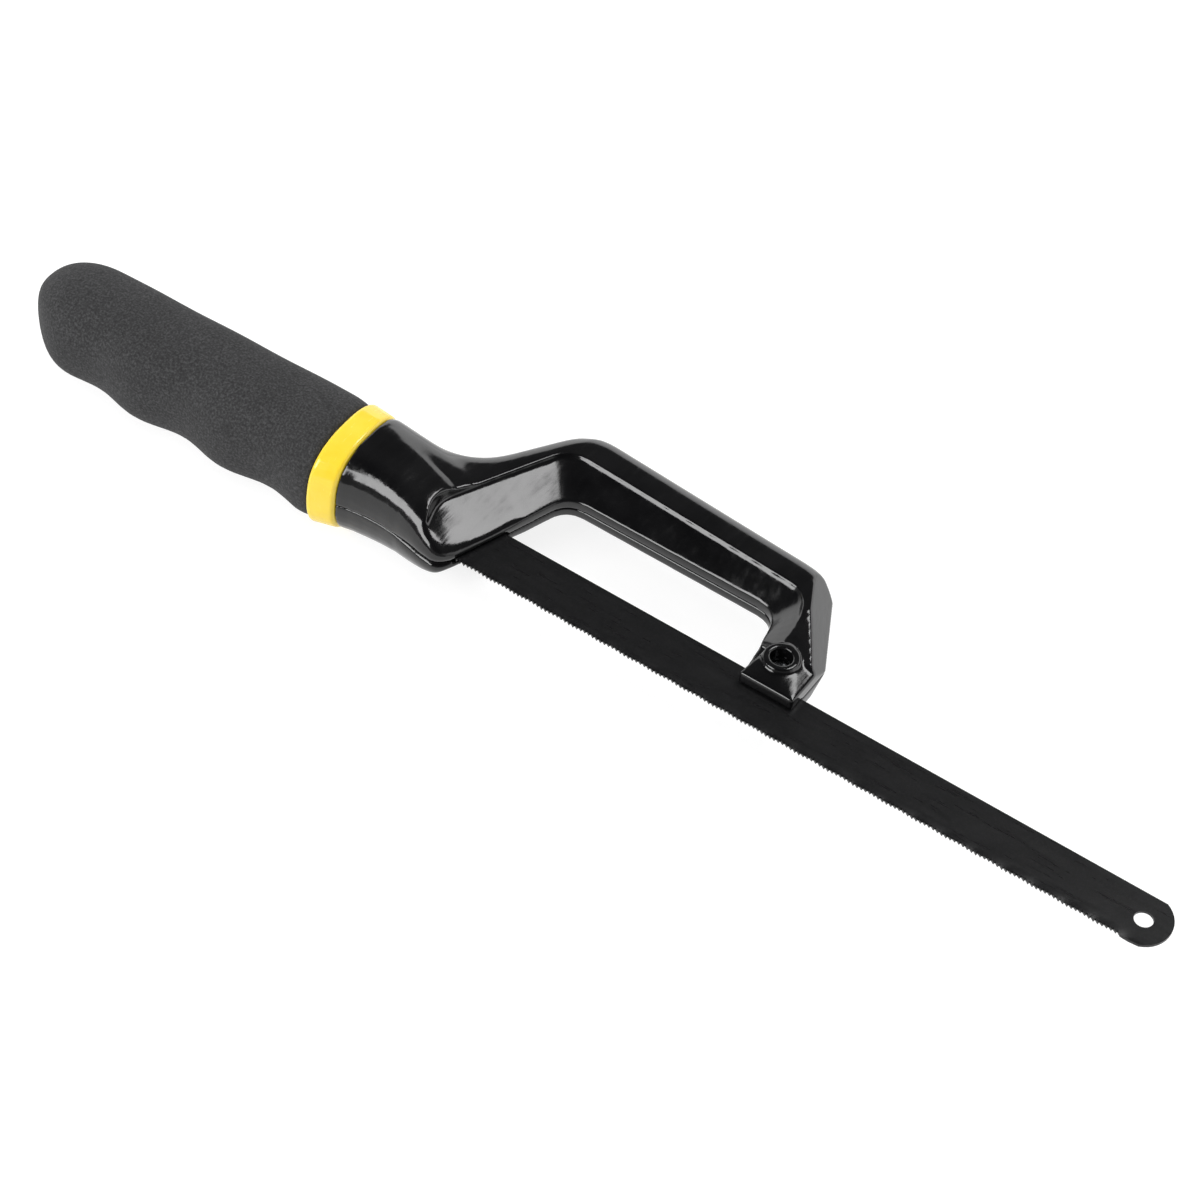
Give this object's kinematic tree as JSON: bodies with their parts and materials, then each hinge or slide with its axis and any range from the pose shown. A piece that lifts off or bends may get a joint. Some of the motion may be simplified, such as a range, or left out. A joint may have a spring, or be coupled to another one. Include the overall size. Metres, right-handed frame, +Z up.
{
  "type": "hacksaw",
  "caption": "Compact cast-frame hacksaw with a black arched frame, a grooved dark grip, a yellow collar ring and a full-length blade clamped near its front end.",
  "frame": {"origin": "centre of the bounding box's footprint, on the surface the saw lies on", "axes": "+X along the blade towards its free tip, +Y from the teeth towards the arch, +Z up out of the saw's near face; the saw lies on its side with the blade level"},
  "size_m": [0.2896, 0.052, 0.025],
  "materials": {
    "frame_enamel": "glossy black enamel on a zinc casting",
    "blade_steel": "satin black oxide with a lacquer",
    "grip_foam": "matte, fine grained",
    "ring_yellow": "glossy",
    "screw_zinc": "bright zinc plate",
    "tail_steel": "dull zinc plate"
  },
  "bodies": {
    "saw": {"frame_near": "frame_enamel", "frame_far": "frame_enamel", "collar_ring": "ring_yellow", "grip_sleeve": "grip_foam", "tail_screws": "tail_steel"},
    "blade": {"blade": "blade_steel"},
    "washer": {"clamp_washer": "screw_zinc"},
    "screw": {"clamp_screw": "screw_zinc"}
  },
  "joints": [
    {"name": "blade_slide", "type": "slide", "parent": "saw", "child": "blade", "axis": [1, 0, 0], "range_m": [-0.012, 0.095]},
    {"name": "washer_lift", "type": "slide", "parent": "saw", "child": "washer", "axis": [0, 0, -1], "range_m": [0, 0.0014]},
    {"name": "screw_turn", "type": "hinge", "parent": "washer", "child": "screw", "pos_m": [0.04685, -0.00442, 0.007], "axis": [0, 0, -1], "range_deg": [0, 720]}
  ],
  "couplings": [
    {"joint": "washer_lift", "follows": "screw_turn", "m_per_rad": 0.00011141}
  ]
}
